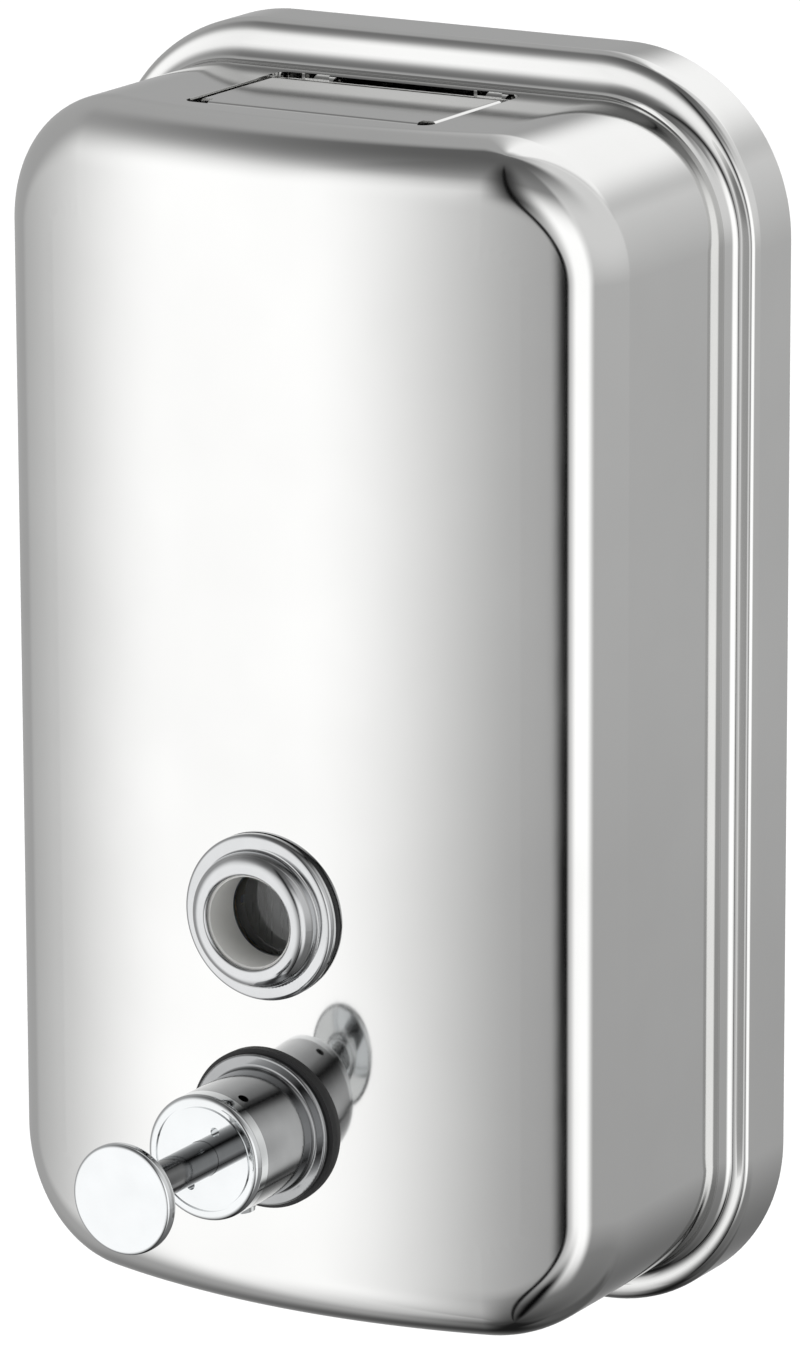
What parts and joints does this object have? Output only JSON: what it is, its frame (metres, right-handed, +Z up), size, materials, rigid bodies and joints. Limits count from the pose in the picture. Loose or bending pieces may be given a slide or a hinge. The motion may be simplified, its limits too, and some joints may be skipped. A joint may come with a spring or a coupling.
{
  "type": "wall mounted soap dispenser",
  "caption": "Wall mounted liquid soap dispenser: polished steel tank with bowed front, hinged filler lid, round sight window and horizontal push valve.",
  "frame": {"origin": "middle of the wall bracket's back face, on the wall plane, midway between the screw holes", "axes": "+X to the right when facing the dispenser, +Y back into the wall, +Z up"},
  "size_m": [0.1236, 0.109, 0.2134],
  "materials": {
    "polished_stainless": "mirror polished stainless sheet",
    "plain_stainless": "mill finish stainless sheet",
    "bracket_steel": "zinc plated steel",
    "chrome_plate": "bright chrome plate on turned brass",
    "nut_brass": "turned brass",
    "black_rubber": "moulded black rubber",
    "clear_lens": "clear moulded polycarbonate",
    "white_plastic": "moulded acetal",
    "tube_plastic": "natural polyethylene",
    "spring_steel": "drawn stainless spring wire",
    "ball_steel": "ground stainless balls"
  },
  "bodies": {
    "housing": {"body_shell": "polished_stainless", "back_plate": "plain_stainless", "hanger": "plain_stainless", "filler_well": "plain_stainless", "lid_hinge_pin": "plain_stainless", "lock_bush": "plain_stainless", "lock_screw": "plain_stainless", "wall_bracket": "bracket_steel", "window_bezel": "chrome_plate", "valve_body": "chrome_plate", "valve_cap": "chrome_plate", "outlet_nozzle": "chrome_plate", "window_nut": "nut_brass", "valve_nut": "nut_brass", "lens_retainer": "nut_brass", "lid_gasket": "black_rubber", "lens_seal": "black_rubber", "window_gasket": "black_rubber", "window_washer": "black_rubber", "valve_gasket": "black_rubber", "valve_washer": "black_rubber", "stem_seal": "black_rubber", "rod_seal": "black_rubber", "window_lens": "clear_lens", "pump_barrel": "white_plastic", "inlet_seat": "white_plastic", "suction_tube": "tube_plastic", "return_spring": "spring_steel"},
    "plunger": {"push_button": "chrome_plate", "plunger_rod": "chrome_plate", "piston": "white_plastic", "piston_seal": "black_rubber"},
    "lid": {"lid": "polished_stainless", "lid_catch_spring": "plain_stainless"},
    "inlet_ball": {"inlet_ball": "ball_steel"},
    "outlet_ball": {"outlet_ball": "ball_steel"}
  },
  "joints": [
    {"name": "plunger_press", "type": "slide", "parent": "housing", "child": "plunger", "axis": [0, 1, 0], "range_m": [0, 0.018], "stiffness_N_per_m": 600, "springref_m": -0.005, "deforming": ["return_spring"]},
    {"name": "lid_hinge", "type": "hinge", "parent": "housing", "child": "lid", "pos_m": [0, -0.0227, 0.0973], "axis": [-1, 0, 0], "range_deg": [0, 98]},
    {"name": "inlet_ball_lift", "type": "slide", "parent": "housing", "child": "inlet_ball", "axis": [0, 0, 1], "range_m": [0, 0.0015]},
    {"name": "outlet_ball_lift", "type": "slide", "parent": "plunger", "child": "outlet_ball", "axis": [0, -1, 0], "range_m": [0, 0.0009]}
  ]
}
